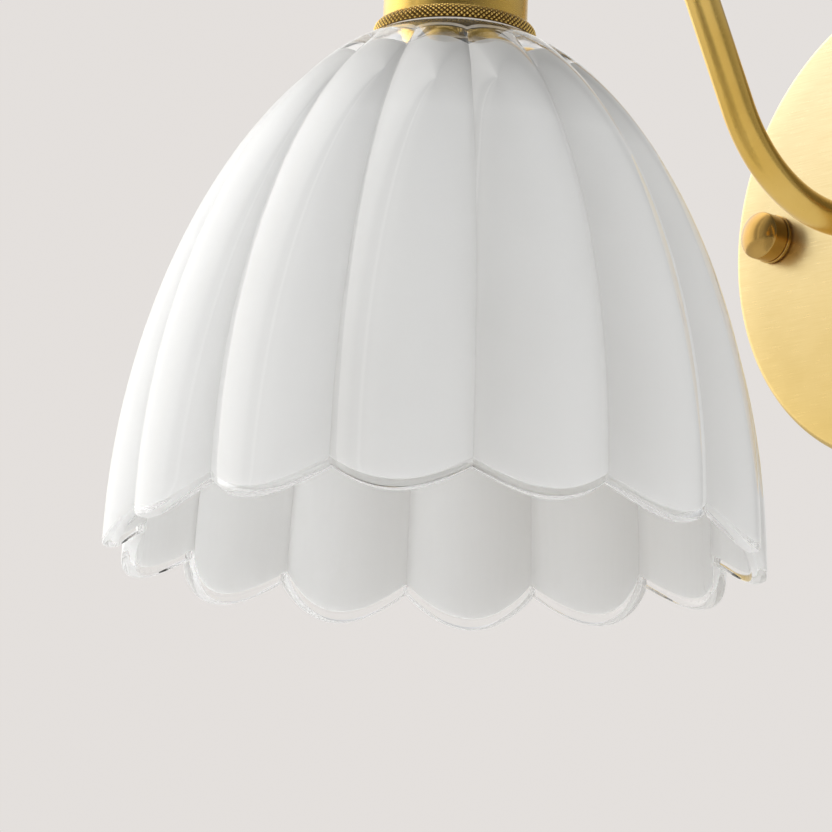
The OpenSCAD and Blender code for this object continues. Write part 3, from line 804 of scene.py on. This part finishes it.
@dataclass
class PlateSide:
    """The back plate with its nuts and the arm's collar."""

    dresser: Dresser
    nut_r: float = 7.6
    nut_h: float = 9.4
    dome_h: float = 2.8
    flange_t: float = 1.1
    washer_t: float = 0.6
    body_inset: float = 0.25
    groove_w: float = 0.5
    groove_depth: float = 0.25
    nut_edge: float = 0.2
    lip_r: float = 0.9
    bore_r: float = 2.05
    bore_depth: float = 7.5
    bore_end: float = 8.1
    stud_hole_r: float = 2.5
    drill_len: float = 30.0
    least_edge_r: float = 0.3
    face_rings: tuple[float, ...] = (66.0, 48.0, 30.0, 16.0)
    back_rings: tuple[float, ...] = (30.0, 66.0)
    stub_bare: float = 0.5
    collar_wall: float = 2.2

    def plate(self) -> None:
        """Model the round plate, open at the back."""
        s = SIZE
        inner_r, inner_d = s.plate_r - s.plate_wall, s.plate_depth - s.plate_wall
        inner_e = max(s.plate_edge_r - s.plate_wall, self.least_edge_r)
        profile = [(s.plate_r, 0.0)]
        profile += arc((s.plate_r - s.plate_edge_r, s.plate_depth - s.plate_edge_r), s.plate_edge_r, 0, 90, 10)
        profile += [(r, s.plate_depth) for r in (*self.face_rings, s.sleeve_r)]
        profile += [(r, inner_d) for r in (s.sleeve_r, *self.back_rings)]
        profile += arc((inner_r - inner_e, inner_d - inner_e), inner_e, 90, 0, 6)
        profile += [(inner_r, 0.0)]
        obj = turned("backplate_dish", profile, 180)
        for side in (-1, 1):
            tool = rod("stud_hole", self.stud_hole_r, self.drill_len)
            tool.location = (side * s.nut_x * MM, s.nut_lift * MM, 0)
            pick(tool)
            bpy.ops.object.transform_apply(location=True)
            cut(obj, tool)
        stand_out(obj)
        settle(obj, merge=1e-7)
        self.dresser.dress(obj, self.dresser.finishes.plate_brass, "fixture", "plate_brass", "backplate")

    def nut(self, side: str, sign: int) -> None:
        """Model one cap nut with its flange, groove and low dome.

        Args:
            side: the nut's side, as in its names.
            sign: -1 on the left, 1 on the right.
        """
        body_r, lip, edge = self.nut_r - self.body_inset, self.lip_r, self.nut_edge
        groove_r, foot, head = body_r - self.groove_depth, self.flange_t, self.flange_t + self.groove_w
        dome_r = (body_r**2 + self.dome_h**2) / (2 * self.dome_h)
        profile = [(self.bore_r, 0.0), (self.nut_r - edge, 0.0), (self.nut_r, edge), (self.nut_r, foot - edge)]
        profile += [(self.nut_r - edge, foot), (groove_r, foot + 0.05), (groove_r, head - 0.05)]
        profile += [(body_r - 0.1, head), (body_r, head + 0.12)]
        centre = self.nut_h - dome_r
        reach = dome_r - lip
        slant = math.asin((body_r - lip) / reach)
        corner = (body_r - lip, centre + reach * math.cos(slant))
        profile += arc(corner, lip, 0, 90 - math.degrees(slant), 8)
        profile += arc((0.0, centre), dome_r, 90 - math.degrees(slant), 90, 14)[1:]
        obj = turned(f"cap_nut_{side}_dome", profile, 96, closed=False)
        drilled = [(self.bore_r, 0.0), (self.bore_r, self.bore_depth), (0.0, self.bore_end)]
        bore = turned("bore", drilled, 96, closed=False)
        obj = join(f"cap_nut_{side}_dome", [obj, bore])
        stand_out(obj, sign * SIZE.nut_x, SIZE.nut_lift, SIZE.plate_depth + self.washer_t)
        settle(obj, merge=2e-6)
        brass = self.dresser.finishes.aged_brass
        self.dresser.dress(obj, brass, f"{side}_nut", "aged_brass", f"cap_nut_{side}")

    def collar(self) -> None:
        """Model the stepped collar where the arm meets the plate."""
        bore, h = SIZE.sleeve_r, SIZE.arm_stub - self.stub_bare
        foot_r, neck_r, bead = 2 * SIZE.arm_r + 1, SIZE.arm_r + self.collar_wall, h / 3
        edge, foot_round, lip = 0.3, 0.5, 0.4
        profile = [(bore, 0.0), (foot_r - edge, 0.0), (foot_r, edge), (foot_r, bead - foot_round)]
        profile += arc((foot_r - foot_round, bead - foot_round), foot_round, 0, 90, 4)
        profile += [(neck_r + bead, bead)] + arc((neck_r, bead), bead, 0, 90, 8)
        profile += [(neck_r, h - lip)] + arc((neck_r - lip, h - lip), lip, 0, 90, 3) + [(bore, h)]
        obj = turned("arm_collar_ring", profile, 96)
        stand_out(obj, 0, 0, SIZE.plate_depth)
        settle(obj)
        self.dresser.dress(obj, self.dresser.finishes.satin_brass, "fixture", "satin_brass", "arm_collar")

    def build(self) -> None:
        """Build the plate's pieces."""
        self.plate()
        for side, sign in (("left", -1), ("right", 1)):
            self.nut(side, sign)
        self.dresser.coat(self.dresser.finishes.fibre, "cap_washer_left", "cap_washer_right")
        self.collar()


@dataclass
class Arm:
    """The swan-neck tube."""

    dresser: Dresser
    sides: int = 64
    washer_t: float = 1.0
    lock_nut_t: float = 3.5
    past_nut: float = 2.0
    in_cap: float = 2.5

    @property
    def inner_end(self) -> float:
        """Distance from the wall to the tube's end behind the plate."""
        return SIZE.plate_depth - SIZE.plate_wall - self.washer_t - self.lock_nut_t - self.past_nut

    @property
    def outer_end(self) -> float:
        """Height of the tube's end inside the cup."""
        return SIZE.cup_top - SIZE.cup_wall - SIZE.cap_gap - SIZE.holder_cap_t - self.in_cap

    def centreline(self) -> list[Place]:
        """Follow the tube's middle from end to end.

        Returns:
            Distance from the wall, height and heading of each ring of the tube.
        """
        s = SIZE
        bend_u = s.plate_depth + s.arm_stub
        low = (bend_u + (s.dip_r + s.low_r) * math.sin(s.dip_angle), s.low_r - s.arm_dip)
        rings = [(self.inner_end, 0.0, 0.0), (bend_u, 0.0, 0.0)]
        for k in range(1, 13):
            a = s.dip_angle * k / 12
            rings.append((bend_u + s.dip_r * math.sin(a), s.dip_r * (math.cos(a) - 1), -a))
        for k in range(1, 49):
            a = -s.dip_angle + (s.rise + s.dip_angle) * k / 48
            rings.append((low[0] + s.low_r * math.sin(a), low[1] - s.low_r * math.cos(a), a))
        top = (s.lamp_u - s.top_r, s.top_centre_z)
        for k in range(65):
            a = s.rise - (s.rise + math.pi / 2) * k / 64
            rings.append((top[0] - s.top_r * math.sin(a), top[1] + s.top_r * math.cos(a), a))
        rings.append((s.lamp_u, self.outer_end, -math.pi / 2))
        return rings

    def build(self) -> None:
        """Draw a ring along the centreline, and give the tube its wall."""
        s, sides = SIZE, self.sides
        rest_bench()
        rings = self.centreline()
        bpy.ops.mesh.primitive_circle_add(vertices=sides, radius=s.arm_r * MM)
        obj = bpy.context.object
        obj.name = "arm_swan_neck"
        bpy.ops.object.mode_set(mode="EDIT")
        bpy.ops.mesh.select_all(action="SELECT")
        for _ in rings[1:]:
            bpy.ops.mesh.extrude_region_move(TRANSFORM_OT_translate={"value": (0, 0, MM)})
        bpy.ops.object.mode_set(mode="OBJECT")
        for vertex in obj.data.vertices:
            row, spot = divmod(vertex.index, sides)
            u, z, heading = rings[row]
            a = 2 * math.pi * spot / sides
            side, lift = s.arm_r * math.sin(a), s.arm_r * math.cos(a)
            vertex.co = (side * MM, -(u - lift * math.sin(heading)) * MM, (z + lift * math.cos(heading)) * MM)
        settle(obj)
        apply_modifier(obj, "SOLIDIFY", thickness=s.arm_wall * MM, offset=-1.0)
        settle(obj, outward=False)
        self.dresser.dress(obj, self.dresser.finishes.satin_brass, "fixture", "satin_brass", "arm_tube")


@dataclass
class Cup:
    """The lamp cup, its collar and the knurled ring."""

    dresser: Dresser
    knurls: int = 90
    knurl_depth: float = 0.42
    knurl_slope: float = 1.35
    knurl_fade: float = 0.5
    ring_edge: float = 0.35
    seat_gap: float = 0.05
    bore_gap: float = 0.5
    collar_out: float = 4.0
    collar_wall: float = 2.2
    collar_foot: float = 0.4

    def cup(self) -> None:
        """Model the cup as a turned shell with a rounded shoulder."""
        s = SIZE
        foot = s.ring_h - s.cup_seat
        height = s.cup_h - foot
        profile = [(s.cup_r, 0.0), (s.cup_r, height * 0.5)]
        profile += arc((s.cup_r - s.cup_shoulder_r, height - s.cup_shoulder_r), s.cup_shoulder_r, 0, 90, 14)
        profile += [(s.sleeve_r, height), (s.sleeve_r, height - s.cup_wall)]
        inner = s.cup_shoulder_r - s.cup_wall
        profile += arc((s.cup_r - s.cup_shoulder_r, height - s.cup_shoulder_r), inner, 90, 0, 10)
        profile += [(s.cup_r - s.cup_wall, 0.0)]
        obj = hang(turned("lamp_cup_shell", profile, 128), s.ring_z + foot)
        settle(obj)
        self.dresser.dress(obj, self.dresser.finishes.turned_brass, "fixture", "satin_brass", "lamp_cup")

    def collar(self) -> None:
        """Model the collar on the cup's top."""
        bore, h = SIZE.sleeve_r, SIZE.collar_h
        foot_r, neck_r, low = SIZE.arm_r + self.collar_out, SIZE.arm_r + self.collar_wall, h * self.collar_foot
        edge, foot_round, bead = 0.2, 0.5, 1.2
        profile = [(bore, 0.0), (foot_r - edge, 0.0), (foot_r, edge), (foot_r, low - foot_round)]
        profile += arc((foot_r - foot_round, low - foot_round), foot_round, 0, 90, 4)
        profile += [(neck_r, low), (neck_r, h - 2 * bead)]
        profile += arc((neck_r, h - bead), bead, -90, 90, 8) + [(bore, h)]
        obj = hang(turned("cup_collar_ring", profile, 96), SIZE.cup_top)
        settle(obj)
        self.dresser.dress(obj, self.dresser.finishes.satin_brass, "fixture", "satin_brass", "cup_collar")

    def ring(self) -> None:
        """Model the knurled ring: a rounded band covered in small diamonds."""
        s = SIZE
        bead, top = s.ring_bead_r, s.ring_h
        outer, seat_r, bore = s.cup_r + bead, s.cup_r + self.seat_gap, s.holder_r + self.bore_gap
        pitch = 2 * math.pi * s.cup_r / self.knurls
        band = [(outer - self.ring_edge, 0.0), (outer, self.ring_edge), (outer, top - bead)]
        band += arc((s.cup_r, top - bead), bead, 0, 84, 20)[1:]
        lengths = [0.0]
        for a, b in zip(band, band[1:]):
            lengths.append(lengths[-1] + math.dist(a, b))
        inside = [(seat_r, top), (seat_r, top - s.cup_seat), (bore, top - s.cup_seat), (bore, 0.0)]
        total, steps = lengths[-1], 26
        count = steps + len(inside) + 1

        def section(v: float) -> Place:
            """Follow the section round.

            Args:
                v: the place on it, from 0 to 1.

            Returns:
                Its radius, height and share of the knurl's depth.
            """
            k = v * count
            if k <= steps:
                run = total * k / steps
                j = max(i for i in range(len(lengths) - 1) if lengths[i] <= run + SAME)
                f = (run - lengths[j]) / (lengths[j + 1] - lengths[j])
                a, b = band[j], band[j + 1]
                edge = min(1.0, run / self.knurl_fade, (total - run) / self.knurl_fade)
                return a[0] + f * (b[0] - a[0]), a[1] + f * (b[1] - a[1]), max(0.0, edge)
            r, z = inside[min(len(inside) - 1, round(k - steps) - 1)]
            return r, z, 0.0

        def place(u: float, v: float) -> Place:
            """Give a point of the ring, sunk where two knurl cuts cross it.

            Args:
                u: the place round the ring, from 0 to 1.
                v: the place on its section, from 0 to 1.

            Returns:
                The point, in millimetres.
            """
            r, z, share = section(v)
            run = v * count / steps * total / pitch
            first, second = u * self.knurls + run, u * self.knurls - run
            ridge = min(abs(first % 1 - 0.5), abs(second % 1 - 0.5)) * 2
            r -= share * self.knurl_depth * (1 - min(1.0, self.knurl_slope * ridge))
            turn = 2 * math.pi * u
            return r * math.cos(turn), r * math.sin(turn), z

        obj = loft("knurled_ring_band", self.knurls * 8, count, place)
        hang(obj, s.ring_z)
        settle(obj, merge=2e-6, angle=24.0)
        self.dresser.dress(obj, self.dresser.finishes.knurled_brass, "fixture", "aged_brass", "knurled_ring")

    def build(self) -> None:
        """Build the cup's pieces."""
        self.cup()
        self.collar()
        self.ring()


@dataclass
class Shade:
    """The glass: a clear fluted bell with a white layer inside it."""

    dresser: Dresser
    petal_steps: int = 24
    onset: float = 9.0
    power: float = 0.85
    land: float = 0.06
    opal_from: float = 2.6
    opal_to: float = 3.9
    opal_start: float = 0.135
    opal_arch: float = 0.03
    opal_end: float = 0.99
    shoulder: Point = (0.483, 0.097)
    side: Point = (1.0, 0.512)
    row_ease: float = 1.15
    rim_drop: float = 1.0
    crease_angle: float = 25.0
    gasket_inset: float = 0.25
    gasket_edge: float = 0.2

    def controls(self) -> list[Point]:
        """The four points that draw the bell's outer profile."""
        s = SIZE
        return [
            (s.neck_r, 0.0),
            (s.neck_r + self.shoulder[0] * (s.shade_r - s.neck_r), -self.shoulder[1] * s.shade_h),
            (s.shade_r - self.side[0], -self.side[1] * s.shade_h), (s.shade_r, -s.shade_h),
        ]

    def inside(self, t: float, depth: float) -> Point:
        """Give a point of the profile, moved square to it into the glass.

        Args:
            t: the place on the profile, from 0 at the neck to 1 at the rim.
            depth: how far it is moved, in millimetres.

        Returns:
            The point's radius and height.
        """
        p = self.controls()
        q = 1 - t
        w = (q**3, 3 * t * q * q, 3 * t * t * q, t**3)
        r, z = (sum(w[k] * p[k][i] for k in range(4)) for i in (0, 1))
        d = (3 * q * q, 6 * t * q, 3 * t * t)
        dr, dz = (sum(d[k] * (p[k + 1][i] - p[k][i]) for k in range(3)) for i in (0, 1))
        n = math.hypot(dr, dz)
        return r + depth * dz / n, z - depth * dr / n

    def fluted(self, u: float, t: float, at: Point) -> Place:
        """Draw a profile point in by its petal's groove and lift it by the scallop.

        Args:
            u: the place round the shade, from 0 to 1.
            t: the place on the profile, from 0 to 1.
            at: the point's radius and height before it is drawn in.

        Returns:
            The point, in millimetres.
        """
        s = SIZE
        share = (u * s.petals) % 1.0
        crown = math.sin(math.pi * share)
        rise = min(1.0, max(0.0, -at[1] / self.onset))
        rise = rise * rise * (3 - 2 * rise)
        r = at[0] * (1 - s.flute_depth / s.shade_r * (1 - crown**self.power) * rise)
        turn = 2 * math.pi * u
        return r * math.sin(turn), -r * math.cos(turn), at[1] + s.scallop * (1 - crown) * t * t

    def clear(self) -> None:
        """Model the clear glass as one closed shell with a rounded rim."""
        s = SIZE
        outer, rim, inner = 64, 8, 60
        land_z = self.inside(self.land, s.glass_t)[1]
        total = outer + rim + inner + 3

        def place(u: float, v: float) -> Place:
            """Give a point of the glass's closed section.

            Args:
                u: the place round the shade, from 0 to 1.
                v: the place on the section, from 0 to 1.

            Returns:
                The point, in millimetres.
            """
            k = round(v * total)
            if k <= outer:
                t = (k / outer) ** self.row_ease
                return self.fluted(u, t, self.inside(t, 0.0))
            if k <= outer + rim:
                a = math.pi * (k - outer) / rim
                half = s.glass_t / 2
                at = self.inside(1.0, half - half * math.cos(a))
                return self.fluted(u, 1.0, (at[0], at[1] - self.rim_drop * math.sin(a)))
            if k <= outer + rim + inner:
                t = 1 - (1 - self.land) * (k - outer - rim) / inner
                x, y, z = self.fluted(u, t, self.inside(t, s.glass_t))
                return x, y, land_z if k == outer + rim + inner else z
            turn = 2 * math.pi * u
            z = (land_z, 0.0)[k - outer - rim - inner - 1]
            return s.hole_r * math.sin(turn), -s.hole_r * math.cos(turn), z

        obj = loft("shade_clear_glass", s.petals * self.petal_steps, total, place)
        hang(obj, s.glass_top)
        settle(obj, angle=self.crease_angle)
        self.dresser.dress(obj, self.dresser.finishes.clear_glass, "shade", "shade_glass", "glass_shade")

    def opal(self) -> None:
        """Model the white layer as a thin closed shell within the clear glass."""
        s = SIZE
        steps = 56
        total = 2 * steps + 2

        def place(u: float, v: float) -> Place:
            """Give a point of the white layer's closed section.

            Args:
                u: the place round the shade, from 0 to 1.
                v: the place on the section, from 0 to 1.

            Returns:
                The point, in millimetres.
            """
            k = round(v * total)
            out = k <= steps
            share = k / steps if out else (2 * steps + 1 - k) / steps
            crown = math.sin(math.pi * ((u * s.petals) % 1.0))
            start = self.opal_start + self.opal_arch * (1 - crown)
            t = start + (self.opal_end - start) * share
            return self.fluted(u, t, self.inside(t, self.opal_from if out else self.opal_to))

        obj = loft("shade_opal_layer", s.petals * self.petal_steps, total, place)
        hang(obj, s.glass_top)
        settle(obj, angle=self.crease_angle)
        self.dresser.dress(obj, self.dresser.finishes.opal_glass, "shade", "shade_glass")

    def gasket(self) -> None:
        """Model the upper gasket, out to the knurled ring's edge."""
        s, edge = SIZE, self.gasket_edge
        inner, t = s.hole_r, s.gasket_t
        flat_r = s.cup_r + s.ring_bead_r - self.gasket_inset - edge
        profile = [(inner, 0.0), (flat_r, 0.0)] + arc((flat_r, edge), edge, -90, 0, 3)
        profile += arc((flat_r, t - edge), edge, 0, 90, 3) + [(inner, t)]
        obj = hang(turned("upper_gasket_ring", profile, 96), s.glass_top)
        settle(obj)
        self.dresser.dress(obj, self.dresser.finishes.silicone, "fixture", "silicone", "upper_gasket")

    def build(self) -> None:
        """Build the glass and dress its gaskets."""
        self.clear()
        self.opal()
        self.gasket()
        self.dresser.coat(self.dresser.finishes.silicone, "lower_gasket")


@dataclass
class Holder:
    """The lampholder inside the cup, and the ring that clamps the glass."""

    dresser: Dresser

    def build(self) -> None:
        """Dress the lampholder's solids."""
        f, coat = self.dresser.finishes, self.dresser.coat
        coat(f.dark_plastic, "lampholder_cap", "lampholder_body", "shade_ring")
        coat(f.ceramic, "lampholder_core")
        coat(f.terminal_brass, "screw_shell", "centre_contact", "holder_terminals")


@dataclass
class Bulb:
    """The bulb: globe, housing, screw cap, insulator and tip."""

    dresser: Dresser

    def build(self) -> None:
        """Dress the bulb's solids."""
        f, coat = self.dresser.finishes, self.dresser.coat
        coat(f.bulb_white, "bulb_globe")
        coat(f.bulb_body, "bulb_housing")
        coat(f.nickel, "bulb_cap")
        coat(f.dark_plastic, "bulb_insulator")
        coat(f.terminal_brass, "bulb_tip")


# Studio


@dataclass
class Studio:
    """The camera, the lamp, the pale surroundings and the floor."""

    picture: int = 832
    focal_px: float = 5612.9
    azimuth: float = 45.82
    elevation: float = -13.73
    roll: float = 2.1
    eye: Place = (1.0605, -1.2621, -0.4649)
    sensor: float = 36.0
    pale: Colour = (0.775, 0.743, 0.720)
    light_tint: Tint = (0.985, 0.99, 1.0, 1.0)
    gloss_tint: Tint = (1.0, 0.985, 0.96, 1.0)
    gloss_lift: float = 0.4
    ground_edge: Point = (0.8, 0.93)
    floor_colour: Colour = (0.86, 0.84, 0.82)
    fill: float = 1.36
    overhead: float = 0.4
    overhead_from: float = 0.9
    key: float = 0.95
    key_from: Place = (-0.945, -0.325, 0.05)
    lamp_at: Place = (-1.3, -1.2, 0.95)
    lamp_aim: Place = (0.0, -0.17, -0.02)
    lamp_side: float = 0.9
    lamp_power: float = 5.0
    floor_size: float = 14.0
    floor_z: float = -0.62
    diffuse_bounces: int = 8
    glass_bounces: int = 24
    band_top: float = 2.0
    bands: tuple[Point, ...] = (
        (-180, 0.9), (-158, 0.55), (-142, 0.16), (-128, 0.38), (-95, 0.42), (-60, 0.3), (-38, 0.19),
        (-12, 0.12), (28, 0.14), (42, 0.3), (54, 0.6), (62, 0.45), (65, 1.3), (69, 0.5), (78, 0.55),
        (88, 1.35), (110, 1.85), (140, 1.7), (160, 1.1), (180, 0.9),
    )

    def camera(self) -> None:
        """Stand the camera where the photograph was taken from."""
        a, e, r = (math.radians(v) for v in (self.azimuth, self.elevation, self.roll))
        back = Vector((math.sin(a) * math.cos(e), -math.cos(a) * math.cos(e), math.sin(e)))
        right = Vector((math.cos(a), math.sin(a), 0.0))
        up = back.cross(right)
        side = math.cos(r) * right + math.sin(r) * up
        top = -math.sin(r) * right + math.cos(r) * up
        data = bpy.data.cameras.new("camera")
        data.sensor_width = self.sensor
        data.lens = self.focal_px * data.sensor_width / self.picture
        camera = bpy.data.objects.new("camera", data)
        bpy.context.scene.collection.objects.link(camera)
        turn = Matrix((side, top, back)).transposed().to_4x4()
        camera.matrix_world = Matrix.Translation(self.eye) @ turn
        bpy.context.scene.camera = camera

    def lamp(self) -> None:
        """Hang a soft square lamp that faces the shade."""
        data = bpy.data.lights.new("left_softbox", "AREA")
        data.shape = "RECTANGLE"
        data.size = data.size_y = self.lamp_side
        data.energy = self.lamp_power
        lamp = bpy.data.objects.new("left_softbox", data)
        lamp.visible_glossy = False
        bpy.context.scene.collection.objects.link(lamp)
        lamp.location = self.lamp_at
        lamp.rotation_euler = (lamp.location - Vector(self.lamp_aim)).to_track_quat("Z", "Y").to_euler()

    def world(self) -> None:
        """Light everything softly, with a pale ground and upright bright and dark bands in gloss."""
        world = bpy.data.worlds.new("surround")
        bpy.context.scene.world = world
        nodes = Nodes(world)

        def add(kind: str, *inputs: Feed, **settings: object) -> Node:
            """Add a node, with its inputs from the first on."""
            return nodes.add(kind, dict(enumerate(inputs)), **settings)

        def dot(vector: Place) -> Socket:
            """Give the view direction's share along a vector."""
            return add("ShaderNodeVectorMath", where, vector, operation="DOT_PRODUCT").outputs["Value"]

        def sum_of(operation: str, first: Feed, second: Feed = 0.0) -> Socket:
            """Give a Math node's result."""
            return add("ShaderNodeMath", first, second, operation=operation).outputs[0]

        view = math.radians(self.azimuth)
        toward = (math.sin(view), -math.cos(view), 0.0)
        left = (-math.cos(view), -math.sin(view), 0.0)
        where = add("ShaderNodeTexCoord").outputs["Generated"]
        height = add("ShaderNodeSeparateXYZ", where).outputs[2]
        turn = sum_of("ARCTAN2", dot(left), dot(toward))
        share = sum_of("ADD", sum_of("DIVIDE", turn, 2 * math.pi), 0.5)
        ramp = add("ShaderNodeValToRGB", share)
        ends = ramp.color_ramp.elements
        while len(ends) > 1:
            ends.remove(ends[-1])
        for number, (angle, level) in enumerate(self.bands):
            spot = angle / 360 + 0.5
            end = ends[0] if number == 0 else ends.new(spot)
            end.position = spot
            end.color = (*(level / self.band_top,) * 3, 1.0)
        lift = sum_of("ADD", 1.0, sum_of("MULTIPLY", height, self.gloss_lift))
        band = sum_of("MULTIPLY", ramp.outputs[0], self.band_top)
        gloss = add("ShaderNodeBackground", self.gloss_tint, sum_of("MULTIPLY", band, lift))
        reach = sum_of("MAXIMUM", dot(self.key_from), 0.0)
        shade = add("ShaderNodeMapRange", height, 0.0, self.overhead_from, 1.0, self.overhead,
                    interpolation_type="SMOOTHSTEP")
        even = sum_of("MULTIPLY", shade.outputs[0], self.fill)
        rise = sum_of("ADD", even, sum_of("MULTIPLY", sum_of("MULTIPLY", reach, reach), self.key))
        light = add("ShaderNodeBackground", self.light_tint, rise)
        shown = add("ShaderNodeBackground", (*self.pale, 1.0), 1.0)
        tilt = math.radians(self.elevation)
        onward = (-toward[0] * math.cos(tilt), -toward[1] * math.cos(tilt), -math.sin(tilt))
        behind = add("ShaderNodeMapRange", dot(onward), *self.ground_edge, 0.0, 1.0,
                     interpolation_type="SMOOTHSTEP")
        through = add("ShaderNodeMixShader", behind.outputs[0], light.outputs[0], shown.outputs[0])
        path = add("ShaderNodeLightPath")
        first = add("ShaderNodeMixShader", path.outputs["Is Glossy Ray"], light.outputs[0], gloss.outputs[0])
        second = add("ShaderNodeMixShader", path.outputs["Is Transmission Ray"], first.outputs[0],
                     through.outputs[0])
        third = add("ShaderNodeMixShader", path.outputs["Is Camera Ray"], second.outputs[0], shown.outputs[0])
        add("ShaderNodeOutputWorld", third.outputs[0])

    def floor(self) -> None:
        """Lay a wide pale floor under the lamp, seen only from above."""
        rest_bench()
        bpy.ops.mesh.primitive_plane_add(size=self.floor_size, location=(0.0, 0.0, self.floor_z))
        floor = bpy.context.object
        floor.name = "floor"
        material = bpy.data.materials.new("floor")
        nodes = Nodes(material)
        below = nodes.add("ShaderNodeNewGeometry").outputs["Backfacing"]
        matt = nodes.add("ShaderNodeBsdfDiffuse", {"Color": self.floor_colour}).outputs[0]
        clear = nodes.add("ShaderNodeBsdfTransparent").outputs[0]
        mix = nodes.add("ShaderNodeMixShader", {0: below, 1: matt, 2: clear})
        nodes.add("ShaderNodeOutputMaterial", {"Surface": mix.outputs[0]})
        floor.data.materials.append(material)

    def build(self) -> None:
        """Set up the studio."""
        self.camera()
        self.world()
        self.floor()
        self.lamp()
        cycles = bpy.context.scene.cycles
        cycles.blur_glossy = 0.0
        cycles.diffuse_bounces = self.diffuse_bounces
        cycles.max_bounces = cycles.transmission_bounces = cycles.glossy_bounces = self.glass_bounces
        bpy.context.scene.view_settings.view_transform = "Standard"


def main() -> None:
    """Build the object and its studio."""
    logging.basicConfig(level=logging.INFO, format="%(name)s: %(message)s")
    Studio().build()
    dresser = Dresser(Finishes())
    for assembly in (WallSide, PlateSide, Arm, Cup, Shade, Holder, Bulb):
        assembly(dresser).build()
        LOG.info("%s is built", assembly.__name__)
    rest_bench()


if __name__ == "__main__":
    main()
